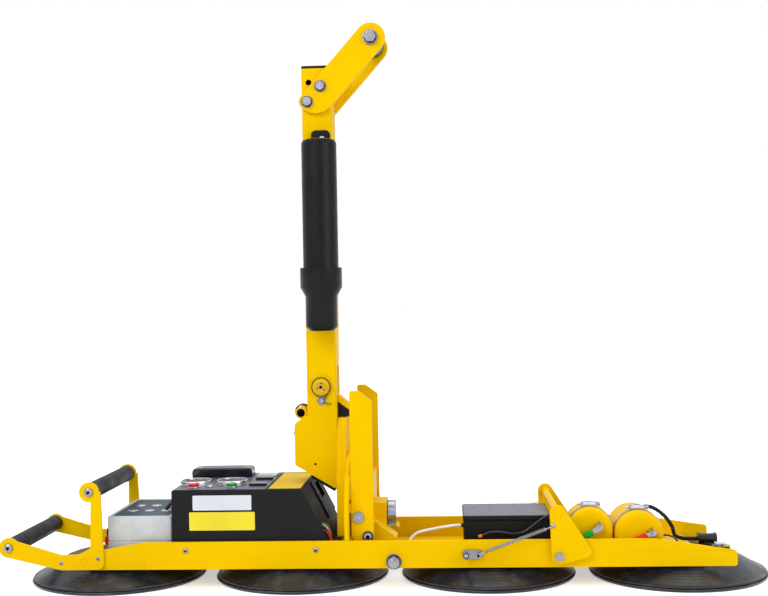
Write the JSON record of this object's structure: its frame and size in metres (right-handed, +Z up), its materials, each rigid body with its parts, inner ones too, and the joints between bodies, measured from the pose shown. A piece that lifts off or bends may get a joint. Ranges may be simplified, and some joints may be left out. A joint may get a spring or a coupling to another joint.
{
  "type": "inline vacuum lifter",
  "caption": "Battery vacuum lifter with suction pads in a row under a low beam, a fold-down mast on a swivel for the hoist, reservoirs, control box and carrying handle.",
  "frame": {"origin": "on the floor plane, below the centre of the whole object's box", "axes": "+X along the beam towards the end without the handle, +Y across it away from the valve levers, +Z up"},
  "size_m": [1.5098, 0.35, 1.1145],
  "materials": {
    "pad_rubber": "smooth black rubber",
    "grip_rubber": "ribbed grey-black rubber",
    "yellow_paint": "satin powder coat",
    "steel": "zinc plated",
    "chrome": "polished",
    "battery_case": "light grey moulded plastic",
    "black_sheet": "black powder-coated sheet",
    "black_plastic": "black moulded plastic",
    "gloss_black": "gloss black",
    "white_cable": "white cable sheath",
    "red_plastic": "red plastic",
    "green_plastic": "green plastic"
  },
  "bodies": {
    "beam": {"pad_1": "pad_rubber", "pad_2": "pad_rubber", "pad_3": "pad_rubber", "pad_4": "pad_rubber", "pad_seal_1": "pad_rubber", "pad_seal_2": "pad_rubber", "pad_seal_3": "pad_rubber", "pad_seal_4": "pad_rubber", "rail_front": "yellow_paint", "rail_rear": "yellow_paint", "deck": "yellow_paint", "pivot_pin_front": "steel", "pivot_pin_rear": "steel", "handle_front": "yellow_paint", "handle_rear": "yellow_paint", "grip_upper": "grip_rubber", "grip_lower": "grip_rubber", "grip_rod_upper": "steel", "grip_rod_lower": "steel", "battery": "battery_case", "control_box": "black_sheet", "display_housing": "gloss_black", "gauge_left": "chrome", "gauge_right": "chrome", "pump_box": "black_plastic", "pump_box_lid": "black_plastic", "reservoir_left": "yellow_paint", "reservoir_right": "yellow_paint", "clamp_left": "steel", "clamp_right": "steel", "bail_pin_front": "steel", "bail_pin_rear": "steel", "spring_anchor_front": "steel", "spring_anchor_rear": "steel", "spring_front": "steel", "spring_rear": "steel", "vacuum_hose": "black_plastic", "pump_cable": "white_cable", "pad_valve": "gloss_black"},
    "fork": {"fork_cheek_front": "yellow_paint", "fork_cheek_rear": "yellow_paint", "index_disc": "yellow_paint", "bearing_block": "yellow_paint"},
    "mast": {"mast_tube": "yellow_paint", "mast_cap": "black_plastic", "mast_foot": "yellow_paint", "swivel_arch": "yellow_paint", "swivel_shaft": "steel", "bracket_front": "yellow_paint", "bracket_rear": "yellow_paint", "hook_bolt": "steel", "document_tube": "black_plastic"},
    "index_lever": {"index_lever": "yellow_paint"},
    "document_cap": {"document_tube_cap": "black_plastic"},
    "bail": {"bail": "yellow_paint"},
    "valve_green": {"valve_lever_green": "green_plastic"},
    "valve_red": {"valve_lever_red": "red_plastic"},
    "button_red": {"button_red": "red_plastic"},
    "button_green": {"button_green": "green_plastic"}
  },
  "joints": [
    {"name": "mast_fold", "type": "hinge", "parent": "beam", "child": "fork", "pos_m": [-0.05137, 0, 0.133], "axis": [0, 1, 0], "range_deg": [0, 90]},
    {"name": "mast_swivel", "type": "hinge", "parent": "fork", "child": "mast", "pos_m": [-0.07698, 0, 0.124], "axis": [1, 0, 0], "range_deg": [-12, 12]},
    {"name": "index_lever_lift", "type": "hinge", "parent": "mast", "child": "index_lever", "pos_m": [-0.12687, 0, 0.384], "axis": [0, -1, 0], "range_deg": [0, 20], "stiffness_Nm_per_rad": 0.8, "springref_deg": -28.65},
    {"name": "document_cap_pull", "type": "slide", "parent": "mast", "child": "document_cap", "axis": [0, 0, -1], "range_m": [0, 0.09]},
    {"name": "bail_tilt", "type": "hinge", "parent": "beam", "child": "bail", "pos_m": [0.33313, 0, 0.0615], "axis": [0, 1, 0], "range_deg": [0, 18], "stiffness_Nm_per_rad": 2.5, "springref_deg": -20.05, "deforming": ["spring_front", "spring_rear"]},
    {"name": "valve_green_turn", "type": "hinge", "parent": "beam", "child": "valve_green", "pos_m": [0.41313, -0.1135, 0.1118], "axis": [0, -1, 0], "range_deg": [0, 90]},
    {"name": "valve_red_turn", "type": "hinge", "parent": "beam", "child": "valve_red", "pos_m": [0.51362, -0.1135, 0.0995], "axis": [0, -1, 0], "range_deg": [0, 90]},
    {"name": "button_red_press", "type": "slide", "parent": "beam", "child": "button_red", "axis": [0, 0, -1], "range_m": [0, 0.003], "stiffness_N_per_m": 300, "springref_m": -0.002},
    {"name": "button_green_press", "type": "slide", "parent": "beam", "child": "button_green", "axis": [0, 0, -1], "range_m": [0, 0.003], "stiffness_N_per_m": 300, "springref_m": -0.002}
  ]
}
